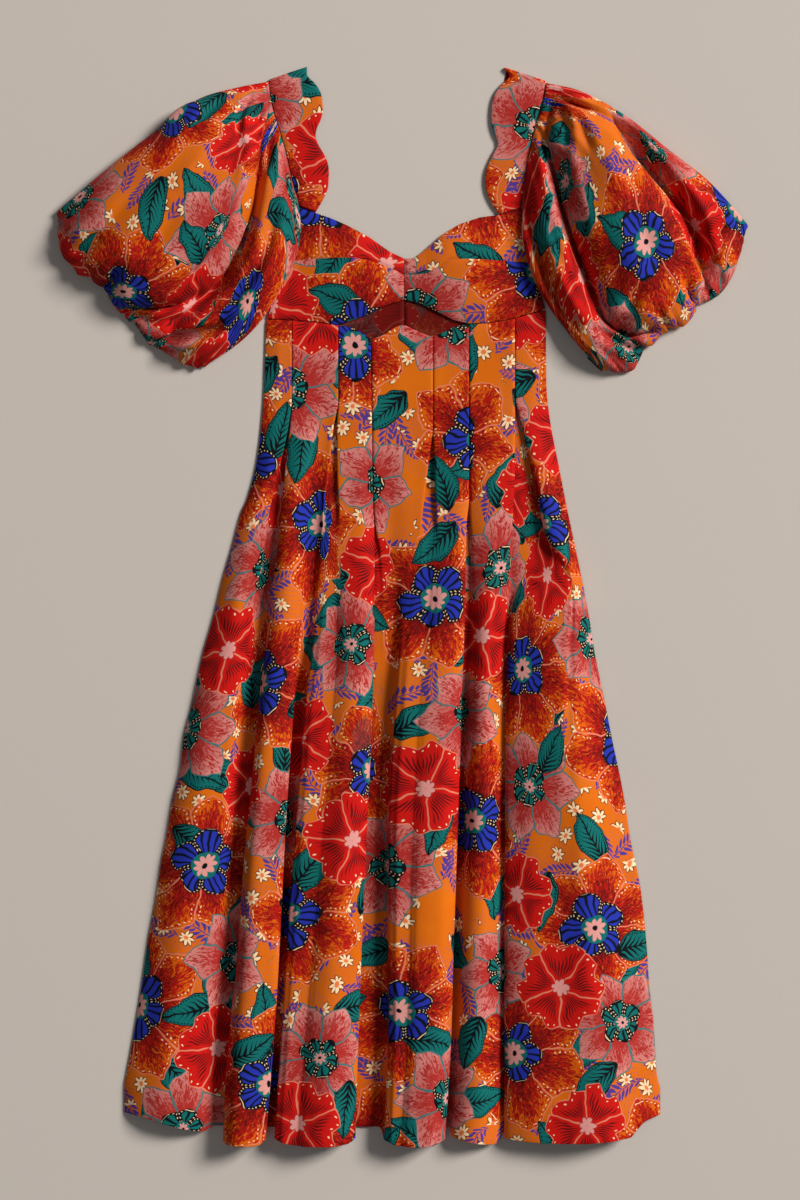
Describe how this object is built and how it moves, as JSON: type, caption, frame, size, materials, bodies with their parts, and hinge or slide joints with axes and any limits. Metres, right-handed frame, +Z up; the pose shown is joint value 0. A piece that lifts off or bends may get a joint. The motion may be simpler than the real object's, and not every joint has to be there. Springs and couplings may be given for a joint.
{
  "type": "cut-out midi dress",
  "caption": "Midi dress laid flat: puff sleeves, scalloped straps, sweetheart cups, under-bust cut-out and a skirt of released inverted pleats.",
  "frame": {"origin": "middle of the bounding box's underside, on the surface the dress lies on", "axes": "+X across the dress to the right as seen from above, +Y from the hem to the shoulders, +Z up from the surface"},
  "size_m": [0.8185, 1.2805, 0.0527],
  "materials": {
    "printed_cotton": "light plain-weave cotton sateen, burnt orange ground with a large floral print, soft dull sheen"
  },
  "bodies": {
    "root": {"skirt_front": "printed_cotton", "skirt_back": "printed_cotton", "cup_upper_left": "printed_cotton", "cup_upper_right": "printed_cotton", "cup_lower_left": "printed_cotton", "cup_lower_right": "printed_cotton", "bodice_back_left": "printed_cotton", "bodice_back_right": "printed_cotton", "strap_left": "printed_cotton", "strap_right": "printed_cotton", "sleeve_left": "printed_cotton", "sleeve_right": "printed_cotton"}
  },
  "joints": []
}
